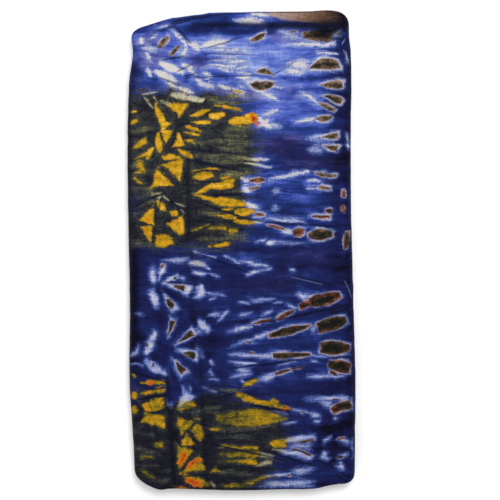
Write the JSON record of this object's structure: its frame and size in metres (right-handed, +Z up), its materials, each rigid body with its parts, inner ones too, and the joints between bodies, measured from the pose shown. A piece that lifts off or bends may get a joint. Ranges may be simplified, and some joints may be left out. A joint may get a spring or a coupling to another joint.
{
  "type": "folded adire cloth",
  "caption": "Length of hand-dyed cotton cloth folded back and forth into a flat oblong bundle that lies on a surface.",
  "frame": {"origin": "centre of the bundle's footprint, on the surface that it lies on", "axes": "+Y along the bundle, from the end with the loose selvedges to the end with the lengthwise fold; +X across it; +Z up through the layers"},
  "size_m": [0.2712, 0.5672, 0.0338],
  "materials": {
    "dyed_cotton": "matte cotton with a slight sheen, resist-dyed in blue, olive, yellow, white and brown"
  },
  "bodies": {
    "root": {"adire_cloth": "dyed_cotton"}
  },
  "joints": []
}
